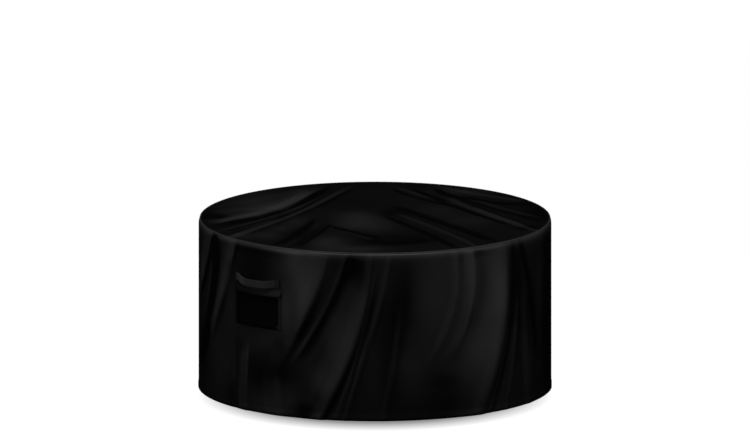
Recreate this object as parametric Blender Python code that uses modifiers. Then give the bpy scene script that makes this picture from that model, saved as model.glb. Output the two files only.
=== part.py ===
"""A round fitted patio cover, shaped as it hangs in use.

Metres, +Z up. The origin is under the middle of the top, where the cover rests.
Angles are degrees round the cover from its front (-Y), growing towards +X. A drop is the
distance below the rim.
"""

import math
from collections import namedtuple

import bmesh
import bpy

# Driving dimensions
RADIUS = 0.900  # the skirt's outer face
DROP = 0.874  # from the rim to the hem
CLOTH = 0.002  # one layer of coated cloth
HEM = 0.023  # height of the hem, two layers thick
GAP = 0.0003  # between pieces that are sewn together

SHOULDER_DROP = 0.026  # the skirt rounds over below the rim here
SHOULDER_IN = 0.006
PIPING = 0.003  # radius of the corded rim
PIPING_SIDES = 6

VENT_LEFT, VENT_RIGHT = -52.0, -32.0
VENT_TOP, VENT_BOTTOM = 0.251, 0.430
BINDING = 0.022  # width of the tape round the window
TAPE = 0.0015
NET = 0.001
NET_BEHIND = 0.0008  # how far the net lies behind the skirt's inner face
TAPE_OVERHANG = 0.006  # how far the tape covers the window's cut edge

FLAP_TOP, FLAP_BOTTOM = 0.222, 0.258
FLAP_SEAM = 0.007
FLAP_OUT = 0.022  # how far the middle of its free edge stands off the skirt
FLAP_END_OUT = 0.004

STRAP_WIDTH = 0.040
STRAP = 0.002

# Every ring of cloth is divided at the same angles, so that neighbouring facets stay parallel.
COLUMNS = 90
STEP = 360 / COLUMNS
PIPING_RADIUS = RADIUS - SHOULDER_IN + 0.0005
PIPING_Z = 0.0005
TOP_RADIUS = PIPING_RADIUS - PIPING - GAP
RIM_DROP = PIPING * math.sin(math.pi / 3) + GAP - PIPING_Z

SKIRT_DROPS = (
    (RIM_DROP, 0.012, SHOULDER_DROP)
    + (0.09, 0.16, 0.235, 0.34, 0.45, 0.54, 0.63, 0.71, 0.79)
    + (DROP - HEM, DROP)
)
TOP_RINGS = (0, 0.16, 0.32, 0.48, 0.63, 0.76, 0.85, TOP_RADIUS)

# Folds of the skirt. top, middle and hem are the crest's angle at the rim, halfway down and at
# the hem. rise and fall are the widths in degrees of its long left slope and short right one.
# height is in metres, less than 0 for a trough. first and last are shares of the drop.
Fold = namedtuple("Fold", "top middle hem rise fall height first last")
SKIRT_FOLDS = (
    Fold(top=-69, middle=-87, hem=-121, rise=9, fall=4, height=0.008, first=0.0, last=0.5),
    Fold(top=-65, middle=-70.5, hem=-89, rise=4, fall=4, height=-0.006, first=0.0, last=0.95),
    Fold(top=-53, middle=-63.7, hem=-86.8, rise=7, fall=4, height=0.014, first=0.0, last=0.72),
    Fold(top=-45, middle=-45.6, hem=-47, rise=5, fall=4, height=0.012, first=0.66, last=1.2),
    Fold(top=-16, middle=-26.3, hem=-46.6, rise=17, fall=4, height=0.014, first=0.0, last=0.66),
    Fold(top=-16, middle=-26.3, hem=-46.6, rise=7, fall=4, height=0.005, first=0.0, last=0.80),
    Fold(top=-36, middle=-35, hem=-33, rise=8, fall=7, height=0.010, first=0.80, last=1.2),
    Fold(top=-1.4, middle=-6.3, hem=-18.2, rise=10, fall=4, height=0.018, first=0.2, last=1.2),
    Fold(top=5, middle=-1.4, hem=-10.2, rise=4, fall=4, height=0.006, first=0.0, last=1.2),
    Fold(top=9, middle=8.5, hem=6, rise=5, fall=6, height=-0.008, first=0.1, last=0.75),
    Fold(top=33.2, middle=29.6, hem=9.5, rise=5, fall=4, height=0.007, first=0.0, last=0.70),
    Fold(top=47.5, middle=46.3, hem=36.4, rise=15, fall=4, height=0.022, first=0.0, last=1.2),
    Fold(top=55, middle=64, hem=67.5, rise=4, fall=4, height=-0.007, first=0.0, last=0.8),
    Fold(top=55.5, middle=58, hem=60.5, rise=4, fall=4, height=0.007, first=0.45, last=1.2),
    Fold(top=76, middle=80, hem=86, rise=9, fall=4, height=0.008, first=0.2, last=1.2),
    Fold(top=103, middle=109, hem=120, rise=12, fall=4, height=0.017, first=0.0, last=1.2),
    Fold(top=131, middle=128, hem=135, rise=9, fall=4, height=0.011, first=0.0, last=0.8),
    Fold(top=150, middle=158, hem=163, rise=14, fall=4, height=0.021, first=0.0, last=1.2),
    Fold(top=177, middle=180, hem=176, rise=8, fall=7, height=-0.009, first=0.2, last=1.2),
    Fold(top=199, middle=193, hem=186, rise=12, fall=4, height=0.019, first=0.0, last=1.2),
    Fold(top=219, middle=216, hem=207, rise=7, fall=4, height=0.010, first=0.3, last=1.2),
    Fold(top=241, middle=233, hem=228, rise=13, fall=4, height=0.018, first=0.0, last=0.95),
    Fold(top=262, middle=256, hem=249, rise=9, fall=4, height=0.012, first=0.0, last=1.2),
)

# Creases of the top. Each runs from start by way of bend to end, in radii from the middle, x to
# the right and y to the back. right and left are the widths of its slopes on the two sides of
# that run, in radii. height is in metres, less than 0 for a trough.
Crease = namedtuple("Crease", "start bend end right left height")
TOP_CREASES = (
    Crease((-0.26, 0.97), (-0.50, -0.05), (-0.98, -0.20), right=0.17, left=0.05, height=0.013),
    Crease((-0.35, 0.82), (-0.60, 0.52), (-0.97, 0.22), right=0.08, left=0.06, height=0.004),
    Crease((-0.09, 0.97), (-0.42, 0.00), (-0.90, -0.72), right=0.06, left=0.05, height=0.006),
    Crease((-0.29, -0.05), (-0.355, -0.475), (-0.52, -0.86), right=0.06, left=0.05, height=0.005),
    Crease((-0.26, -0.20), (-0.12, -0.42), (0.04, -0.56), right=0.07, left=0.07, height=-0.004),
    Crease((-0.05, -0.60), (0.105, -0.81), (0.32, -0.58), right=0.08, left=0.08, height=-0.005),
    Crease((0.09, 0.18), (0.29, -0.12), (0.66, -0.96), right=0.06, left=0.05, height=0.007),
    Crease((0.08, 0.38), (0.33, 0.00), (0.72, -0.74), right=0.06, left=0.06, height=-0.004),
    Crease((0.38, 0.68), (0.59, 0.14), (1.00, -0.46), right=0.06, left=0.05, height=0.009),
    Crease((0.32, 0.86), (0.54, 0.39), (0.92, 0.36), right=0.05, left=0.05, height=-0.004),
    Crease((0.20, 0.84), (0.44, 0.30), (0.80, -0.24), right=0.05, left=0.05, height=-0.003),
    Crease((0.10, 0.92), (0.25, 0.62), (0.50, 0.34), right=0.05, left=0.05, height=0.003),
    Crease((0.35, 0.92), (0.545, 0.665), (0.88, 0.47), right=0.06, left=0.05, height=0.004),
)
CREASE_STEPS = 24

# The carrying strap, left to right: its middle line's angle, drop and distance off the skirt.
Station = namedtuple("Station", "angle drop out")
STRAP_LINE = (
    Station(angle=VENT_LEFT, drop=0.187, out=0.0),
    Station(angle=-50.3, drop=0.187, out=0.0),
    Station(angle=-49.2, drop=0.189, out=0.009),
    Station(angle=-47.4, drop=0.195, out=0.020),
    Station(angle=-45.2, drop=0.1985, out=0.026),
    Station(angle=-42.8, drop=0.1995, out=0.027),
    Station(angle=-40.0, drop=0.198, out=0.026),
    Station(angle=-37.4, drop=0.197, out=0.019),
    Station(angle=-35.8, drop=0.194, out=0.008),
    Station(angle=-34.6, drop=0.191, out=0.0),
    Station(angle=VENT_RIGHT, drop=0.190, out=0.0),
)

# The folds begin under the shoulder and are full at FOLDS_FULL_DROP. The skirt lies smooth round
# the strap and the window, and its folds are lower along the hem and at its two sides.
FOLDS_FULL_DROP = 0.40
CALM_ANGLES = (-54.0, -32.0)
CALM_DROPS = (0.155, 0.455)
HEM_CALM = 0.5
HEM_CALM_FROM = 0.70
SIDE_CALM = 0.8
SIDE_CALM_WIDTH = 12.0


def soft_step(low, high, value):
    """0 below low, 1 above high, with a smooth turn between."""
    share = min(1.0, max(0.0, (value - low) / (high - low)))
    return share * share * (3 - 2 * share)


def ridge(value, crest, rise, fall):
    """A fold's cross-section: 1 on its crest, 0 at the foot of each slope."""
    width = rise if value < crest else fall
    return soft_step(0, 1, 1 - abs(value - crest) / width)


def turned(angle):
    """The angle brought between -90 and 270, where the rows of SKIRT_FOLDS lie."""
    return (angle + 100) % 360 - 100


def skirt_fold(angle, drop):
    """How far the skirt stands out of its plain cylinder."""
    share = drop / DROP
    out = 0.0
    for fold in SKIRT_FOLDS:
        bow = fold.middle - (fold.top + fold.hem) / 2
        crest = fold.top + (fold.hem - fold.top) * share + 4 * bow * share * (1 - share)
        side = (turned(angle) - crest + 180) % 360 - 180
        here = soft_step(fold.first - 0.15, fold.first + 0.05, share)
        here *= 1 - soft_step(fold.last - 0.2, fold.last, share)
        out += fold.height * here * ridge(side, 0, fold.rise, fold.fall)
    out *= soft_step(SHOULDER_DROP, FOLDS_FULL_DROP, drop)
    out *= 1 - HEM_CALM * soft_step(HEM_CALM_FROM, DROP, drop)
    # The cover is drawn straight at its two sides, and smooth round the strap and window.
    out *= 1 - SIDE_CALM * math.exp(-(((abs(turned(angle)) - 90) / SIDE_CALM_WIDTH) ** 2))
    calm = soft_step(CALM_ANGLES[0] - 5, CALM_ANGLES[0], turned(angle))
    calm *= 1 - soft_step(CALM_ANGLES[1], CALM_ANGLES[1] + 8, turned(angle))
    calm *= soft_step(CALM_DROPS[0] - 0.07, CALM_DROPS[0], drop)
    calm *= 1 - soft_step(CALM_DROPS[1], CALM_DROPS[1] + 0.13, drop)
    return out * (1 - calm)


def top_fold(x, y):
    """The height of the top's creases, with its rim left flat."""
    height = 0.0
    for crease, line in CREASE_LINES:
        nearest = min(line, key=lambda spot: (x - spot[0]) ** 2 + (y - spot[1]) ** 2)
        px, py, run_x, run_y, along = nearest
        side = (y - py) * run_x - (x - px) * run_y
        here = soft_step(0, 0.2, along) * (1 - soft_step(0.85, 1, along))
        rise, fall = crease.right * RADIUS, crease.left * RADIUS
        height += crease.height * here * ridge(side, 0, rise, fall)
    return height * (1 - soft_step(0.80, 0.95, math.hypot(x, y) / RADIUS))


def crease_line(crease):
    """Points along a crease, each with the direction of its run and how far along it is."""
    spots = []
    for step in range(CREASE_STEPS + 1):
        t = step / CREASE_STEPS
        ends = zip(crease.start, crease.bend, crease.end)
        x, y = (RADIUS * ((1 - t) ** 2 * a + 2 * t * (1 - t) * b + t * t * c) for a, b, c in ends)
        ends = zip(crease.start, crease.bend, crease.end)
        run_x, run_y = ((1 - t) * (b - a) + t * (c - b) for a, b, c in ends)
        length = math.hypot(run_x, run_y)
        spots.append((x, y, run_x / length, run_y / length, t))
    return spots


CREASE_LINES = [(crease, crease_line(crease)) for crease in TOP_CREASES]


def on_skirt(angle, drop, out=0.0):
    """A point on the skirt's outer face, or out from it."""
    lean = max(0.0, 1 - drop / SHOULDER_DROP)
    radius = RADIUS - SHOULDER_IN * lean**2 + skirt_fold(angle, drop) + out
    turn = math.radians(angle)
    return (radius * math.sin(turn), -radius * math.cos(turn), -drop)


def fabric(name, colour, roughness):
    material = bpy.data.materials.new(name)
    material.use_nodes = True
    shader = material.node_tree.nodes["Principled BSDF"]
    shader.inputs["Base Color"].default_value = (*colour, 1)
    shader.inputs["Roughness"].default_value = roughness
    shader.inputs["Metallic"].default_value = 0.0
    return material


def finish(name, bm, material):
    """Makes the mesh an object of the cover's collection."""
    mesh = bpy.data.meshes.new(name)
    bm.to_mesh(mesh)
    bm.free()
    mesh.materials.append(material)
    mesh.shade_smooth()
    piece = bpy.data.objects.new(name, mesh)
    cover.objects.link(piece)
    return piece


def sheet(name, columns, rows, place, thickness, material, hole=None, doubled=None):
    """Cloth: a flat grid rolled to its shape by place(column, row), then thickened inwards.

    hole(column, row) says which vertices bound the cells to leave out. doubled(row) says which
    rows are two layers thick.
    """
    across, down = len(columns) - 1, len(rows) - 1
    bm = bmesh.new()
    bmesh.ops.create_grid(bm, x_segments=across, y_segments=down, size=0.5)
    layers = bm.verts.layers.deform.verify()
    spots = {}
    for vertex in bm.verts:
        column = columns[round((vertex.co.x + 0.5) * across)]
        row = rows[round((0.5 - vertex.co.y) * down)]
        vertex.co = place(column, row)
        vertex[layers][0] = 1.0 if doubled and doubled(row) else 0.0
        spots[vertex] = (column, row)
    if hole:
        inner = [f for f in bm.faces if all(hole(*spots[v]) for v in f.verts)]
        bmesh.ops.delete(bm, geom=inner, context="FACES")
    bmesh.ops.remove_doubles(bm, verts=bm.verts, dist=0.00001)
    piece = finish(name, bm, material)
    wall = piece.modifiers.new("Thickness", "SOLIDIFY")
    wall.thickness = thickness
    wall.offset = -1
    if doubled:
        wall.thickness = 2 * thickness
        wall.vertex_group = piece.vertex_groups.new(name="doubled").name
        wall.thickness_vertex_group = 0.5
    return piece


def between(low, high, pieces):
    """The columns from one angle to another, in equal pieces."""
    return [low + (high - low) * n / pieces for n in range(pieces + 1)]


def top_panel():
    def place(angle, radius):
        turn = math.radians(angle)
        x, y = radius * math.sin(turn), -radius * math.cos(turn)
        return (x, y, CLOTH + top_fold(x, y) - top_fold(0, 0) * (1 - radius / TOP_RADIUS))

    sheet("top_panel", between(-180, 180, COLUMNS), TOP_RINGS, place, CLOTH, cloth)


def rim_piping():
    bpy.ops.mesh.primitive_torus_add(
        major_segments=COLUMNS,
        minor_segments=PIPING_SIDES,
        major_radius=PIPING_RADIUS,
        minor_radius=PIPING,
        location=(0, 0, PIPING_Z),
        rotation=(0, 0, math.radians(90 % STEP)),  # brings its facets in line with the cloth's
    )
    piping = bpy.context.object
    piping.name = "rim_piping"
    piping.data.materials.append(cloth)
    piping.data.shade_smooth()
    for collection in piping.users_collection:
        collection.objects.unlink(piping)
    cover.objects.link(piping)


def window_cutter():
    """A block through the skirt, a little larger than the tape's inner edge."""
    middle = math.radians((VENT_LEFT + VENT_RIGHT) / 2)
    half_turn = math.radians((VENT_RIGHT - VENT_LEFT) / 2) - BINDING / RADIUS
    half_width = RADIUS * math.sin(half_turn) + TAPE_OVERHANG
    half_height = (VENT_BOTTOM - VENT_TOP) / 2 - BINDING + TAPE_OVERHANG
    bpy.ops.mesh.primitive_cube_add(
        size=2,
        location=(
            RADIUS * math.sin(middle),
            -RADIUS * math.cos(middle),
            -(VENT_TOP + VENT_BOTTOM) / 2,
        ),
        rotation=(0, 0, middle),
        scale=(half_width, 0.06, half_height),
    )
    cutter = bpy.context.object
    cutter.name = "window_cutter"
    cutter.hide_render = True
    cutter.display_type = "WIRE"
    for collection in cutter.users_collection:
        collection.objects.unlink(cutter)
    cutters.objects.link(cutter)
    return cutter


def skirt():
    piece = sheet(
        "skirt",
        between(-180, 180, COLUMNS),
        SKIRT_DROPS,
        on_skirt,
        CLOTH,
        cloth,
        doubled=lambda drop: drop > DROP - HEM - CLOTH,
    )
    cut = piece.modifiers.new("Window", "BOOLEAN")
    cut.operation = "DIFFERENCE"
    cut.object = window_cutter()


def vent():
    """The net window, the tape round it and the rain flap over it."""
    columns = between(VENT_LEFT, VENT_RIGHT, round((VENT_RIGHT - VENT_LEFT) / STEP))
    rows = between(VENT_TOP, VENT_BOTTOM, 2)

    def behind(angle, drop):
        return on_skirt(angle, drop, -CLOTH - NET_BEHIND)

    sheet("vent_net", columns, rows, behind, NET, net)

    side = math.degrees(BINDING / RADIUS)
    tape_columns = [VENT_LEFT, VENT_LEFT + side, *columns[1:-1], VENT_RIGHT - side, VENT_RIGHT]
    tape_rows = [VENT_TOP, VENT_TOP + BINDING, rows[1], VENT_BOTTOM - BINDING, VENT_BOTTOM]

    def inside(angle, drop):
        inner = tape_columns[1] <= angle <= tape_columns[-2]
        return inner and tape_rows[1] <= drop <= tape_rows[-2]

    def over(angle, drop):
        return on_skirt(angle, drop, GAP + TAPE)

    sheet("vent_binding", tape_columns, tape_rows, over, TAPE, tape, hole=inside)

    seam = FLAP_TOP + FLAP_SEAM

    def flap(angle, drop):
        along = (angle - VENT_LEFT) / (VENT_RIGHT - VENT_LEFT)
        arch = math.sqrt(max(0.0, math.sin(math.pi * along)))
        edge_out = FLAP_END_OUT + (FLAP_OUT - FLAP_END_OUT) * arch
        share = max(0.0, (drop - seam) / (FLAP_BOTTOM - seam))
        return on_skirt(angle, drop, GAP + CLOTH + edge_out * share)

    flap_rows = [FLAP_TOP, seam, (seam + FLAP_BOTTOM) / 2, FLAP_BOTTOM]
    sheet("vent_flap", columns, flap_rows, flap, CLOTH, cloth)


def carrying_strap():
    line = {station.angle: station for station in STRAP_LINE}

    def place(angle, across):
        station = line[angle]
        return on_skirt(angle, station.drop + across, GAP + STRAP + station.out)

    edges = [-STRAP_WIDTH / 2, STRAP_WIDTH / 2]
    sheet("carrying_strap", [s.angle for s in STRAP_LINE], edges, place, STRAP, webbing)


for old in list(bpy.data.objects):
    bpy.data.objects.remove(old, do_unlink=True)
cover = bpy.data.collections.new("patio_furniture_cover")
cutters = bpy.data.collections.new("cutters")
bpy.context.scene.collection.children.link(cover)
bpy.context.scene.collection.children.link(cutters)
cloth = fabric("coated_cloth", (0.010, 0.010, 0.011), 0.5)
tape = fabric("binding_tape", (0.012, 0.012, 0.013), 0.6)
webbing = fabric("webbing", (0.020, 0.021, 0.024), 0.6)
net = fabric("net", (0.004, 0.004, 0.004), 0.8)

top_panel()
rim_piping()
skirt()
vent()
carrying_strap()
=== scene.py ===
"""The looks of a round fitted patio furniture cover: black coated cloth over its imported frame.

Metres, +Z up, the front is -Y. Angles are degrees round the cover from its front, growing
towards +X. A drop is the distance below the rim.
"""

import math
from collections import namedtuple

import bmesh
import bpy
import numpy as np
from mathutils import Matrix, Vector


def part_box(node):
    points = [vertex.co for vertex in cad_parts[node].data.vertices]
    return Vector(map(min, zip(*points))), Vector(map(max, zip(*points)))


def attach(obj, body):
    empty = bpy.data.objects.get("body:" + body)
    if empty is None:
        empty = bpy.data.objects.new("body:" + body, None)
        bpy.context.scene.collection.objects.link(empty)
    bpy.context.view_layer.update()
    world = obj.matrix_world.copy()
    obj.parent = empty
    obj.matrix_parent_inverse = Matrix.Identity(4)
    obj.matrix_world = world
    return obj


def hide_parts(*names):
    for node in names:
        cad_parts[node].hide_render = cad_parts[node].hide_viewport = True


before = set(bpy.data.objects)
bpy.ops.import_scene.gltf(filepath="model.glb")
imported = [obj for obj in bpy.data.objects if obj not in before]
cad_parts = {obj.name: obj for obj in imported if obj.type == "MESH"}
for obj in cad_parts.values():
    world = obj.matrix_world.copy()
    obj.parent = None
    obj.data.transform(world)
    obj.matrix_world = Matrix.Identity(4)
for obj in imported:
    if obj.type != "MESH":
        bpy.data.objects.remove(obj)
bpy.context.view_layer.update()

# ------------------------------------------------------------------------------ the camera
# The picture shows no perspective: the rim and the hem are ellipses of one size. So the camera
# is orthographic, and it looks down on the cover by the angle that those ellipses give.
CAMERA_ELEVATION = math.radians(11.77)
CAMERA_DISTANCE = 20
PICTURE_WIDTH_PX = 750
COVER_WIDTH_PX = 352
RIM_BELOW_CENTRE_PX = -2.0
skirt_low, skirt_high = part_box("skirt")
PX = (skirt_high[0] - skirt_low[0]) / COVER_WIDTH_PX

camera_data = bpy.data.cameras.new("camera")
camera_data.type = "ORTHO"
camera_data.ortho_scale = PICTURE_WIDTH_PX * PX
camera_data.clip_end = 3 * CAMERA_DISTANCE
camera = bpy.data.objects.new("camera", camera_data)
bpy.context.collection.objects.link(camera)
look = Vector((0, math.cos(CAMERA_ELEVATION), -math.sin(CAMERA_ELEVATION)))
up = Vector((0, math.sin(CAMERA_ELEVATION), math.cos(CAMERA_ELEVATION)))
camera.location = RIM_BELOW_CENTRE_PX * PX * up - CAMERA_DISTANCE * look
camera.rotation_euler = look.to_track_quat("-Z", "Y").to_euler()
bpy.context.scene.camera = camera

# ------------------------------------------------------------------- the floor and the light
# A wide white sweep a little below the hem, with the cover's soft shadow painted on it for the
# camera. Two tall softboxes stand left and right of the front, so that each fold has a lit side
# and a dark one, and a long one overhead draws the bright line along the rim.
FLOOR_SIZE = 7
HEM_ABOVE_FLOOR = 0.05
SHADOW_INNER, SHADOW_OUTER = 0.70, 0.91  # radii between which the shadow fades out
SHADOW_BRIGHT, WHITE_BRIGHT = 0.30, 1.02
FLOOR_GREY = 0.005  # so dark that the floor throws hardly any light up at the skirt

bpy.ops.object.select_all(action="DESELECT")
floor_z = skirt_low[2] - HEM_ABOVE_FLOOR
bpy.ops.mesh.primitive_plane_add(size=FLOOR_SIZE, location=(0, 0, floor_z))
floor = bpy.context.object
floor.name = "floor"


def add_node(nodes, kind, inputs=None, **settings):
    """A shader node with its settings, and then the values of its inputs."""
    node = nodes.new("ShaderNode" + kind)
    for name, value in settings.items():
        setattr(node, name, value)
    for name, value in (inputs or {}).items():
        node.inputs[name].default_value = value
    return node


def add_range(nodes, low, high, to_low, to_high):
    """A node that takes low to to_low and high to to_high, and goes no further."""
    limits = {"From Min": low, "From Max": high, "To Min": to_low, "To Max": to_high}
    return add_node(nodes, "MapRange", limits)


paper = bpy.data.materials.new("white_sweep")
paper.use_nodes = True
nodes, links = paper.node_tree.nodes, paper.node_tree.links
nodes.clear()
output = add_node(nodes, "OutputMaterial")
place = add_node(nodes, "TexCoord")
distance = add_node(nodes, "VectorMath", operation="LENGTH")
shade = add_range(nodes, SHADOW_INNER, SHADOW_OUTER, SHADOW_BRIGHT, WHITE_BRIGHT)
bright = add_node(nodes, "Emission")
dim = add_node(nodes, "BsdfDiffuse", {"Color": (FLOOR_GREY, FLOOR_GREY, FLOOR_GREY, 1)})
path = add_node(nodes, "LightPath")
choose = add_node(nodes, "MixShader")
links.new(place.outputs["Object"], distance.inputs[0])
links.new(distance.outputs["Value"], shade.inputs["Value"])
links.new(shade.outputs[0], bright.inputs["Strength"])
links.new(path.outputs["Is Camera Ray"], choose.inputs["Fac"])
links.new(dim.outputs[0], choose.inputs[1])
links.new(bright.outputs[0], choose.inputs[2])
links.new(choose.outputs[0], output.inputs["Surface"])
floor.data.materials.append(paper)

# A black disc at the hem's height paints the shade inside, where it shows through the vent's net.
SHADE_RADIUS = 0.86
SHADE_ABOVE_HEM = 0.004
SHADE_BLACK = (0.001, 0.001, 0.001)


def plain_material(name, colour, roughness, gloss):
    """One even colour and finish."""
    material = bpy.data.materials.new(name)
    material.use_nodes = True
    shader = material.node_tree.nodes["Principled BSDF"]
    shader.inputs["Base Color"].default_value = (*colour, 1)
    shader.inputs["Roughness"].default_value = roughness
    shader.inputs["Specular IOR Level"].default_value = gloss
    return material


bpy.ops.object.select_all(action="DESELECT")
bpy.ops.mesh.primitive_circle_add(
    vertices=96,
    radius=SHADE_RADIUS,
    fill_type="NGON",
    location=(0, 0, skirt_low[2] + SHADE_ABOVE_HEM),
)
shade_inside = bpy.context.object
shade_inside.name = "shade_inside"
painted_inside_shade = plain_material("painted_inside_shade", SHADE_BLACK, roughness=0.9, gloss=0.0)
shade_inside.data.materials.append(painted_inside_shade)

# The room gives next to no light of its own, and the camera sees it white.
ROOM_STRENGTH = 0.006

world = bpy.data.worlds.new("studio")
bpy.context.scene.world = world
world.use_nodes = True
nodes, links = world.node_tree.nodes, world.node_tree.links
room = nodes["Background"]
room.inputs["Color"].default_value = (1, 1, 1, 1)
room.inputs["Strength"].default_value = ROOM_STRENGTH
white = add_node(nodes, "Background", {"Color": (1, 1, 1, 1)})
path = add_node(nodes, "LightPath")
choose = add_node(nodes, "MixShader")
links.new(path.outputs["Is Camera Ray"], choose.inputs["Fac"])
links.new(room.outputs[0], choose.inputs[1])
links.new(white.outputs[0], choose.inputs[2])
links.new(choose.outputs[0], nodes["World Output"].inputs["Surface"])

# Each softbox: the direction it stands in, its distance from the cover's middle, its size and
# its power. The ceiling only lights, and isn't mirrored in the cloth's coat.
Softbox = namedtuple("Softbox", "name azimuth elevation distance width height power")
SOFTBOXES = (
    Softbox("key_left", azimuth=-54, elevation=13, distance=5.0, width=1.6, height=2.4, power=60),
    Softbox("key_right", azimuth=66, elevation=13, distance=5.0, width=1.6, height=2.4, power=60),
    Softbox("front_top", azimuth=0, elevation=62, distance=5.0, width=6.5, height=1.2, power=200),
    Softbox("side_left", azimuth=-104, elevation=12, distance=5.5, width=1.6, height=2.4, power=6),
    Softbox("side_right", azimuth=104, elevation=12, distance=5.5, width=1.6, height=2.4, power=3),
    Softbox("back_left", azimuth=-142, elevation=42, distance=5.5, width=2.4, height=1.6, power=2),
    Softbox("back_low", azimuth=180, elevation=0, distance=5.0, width=1.7, height=0.6, power=75),
    Softbox("ceiling", azimuth=0, elevation=90, distance=7.0, width=9.0, height=9.0, power=240),
)
AIM = Vector((0, 0, skirt_low[2] / 2))
for box in SOFTBOXES:
    azimuth, elevation = math.radians(box.azimuth), math.radians(box.elevation)
    level = math.cos(elevation)
    toward = Vector((math.sin(azimuth) * level, -math.cos(azimuth) * level, math.sin(elevation)))
    light = bpy.data.lights.new(box.name, "AREA")
    light.shape = "RECTANGLE"
    light.size, light.size_y = box.width, box.height
    light.energy = box.power
    lamp = bpy.data.objects.new(box.name, light)
    lamp.location = AIM + toward * box.distance
    lamp.rotation_euler = toward.to_track_quat("Z", "Y").to_euler()
    lamp.visible_camera = False
    lamp.visible_glossy = box.name != "ceiling"
    bpy.context.collection.objects.link(lamp)

bpy.context.scene.view_settings.view_transform = "Standard"

# ------------------------------------------------------------------- the skirt's main cloth
# One strip of black coated polyester, sewn to a ring at the back. It rounds over below the rim,
# hangs in long slanting folds, and is turned up to a stitched hem.
RADIUS = (skirt_high[0] - skirt_low[0]) / 2
DROP = -skirt_low[2]
RIM_DROP = -skirt_high[2]
CLOTH = 0.002  # its thickness
SHOULDER_DROP = 0.026
SHOULDER_IN = 0.006
HEM = 0.023
HEM_STITCHES = DROP - HEM + 0.003  # the drop of their row
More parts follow.
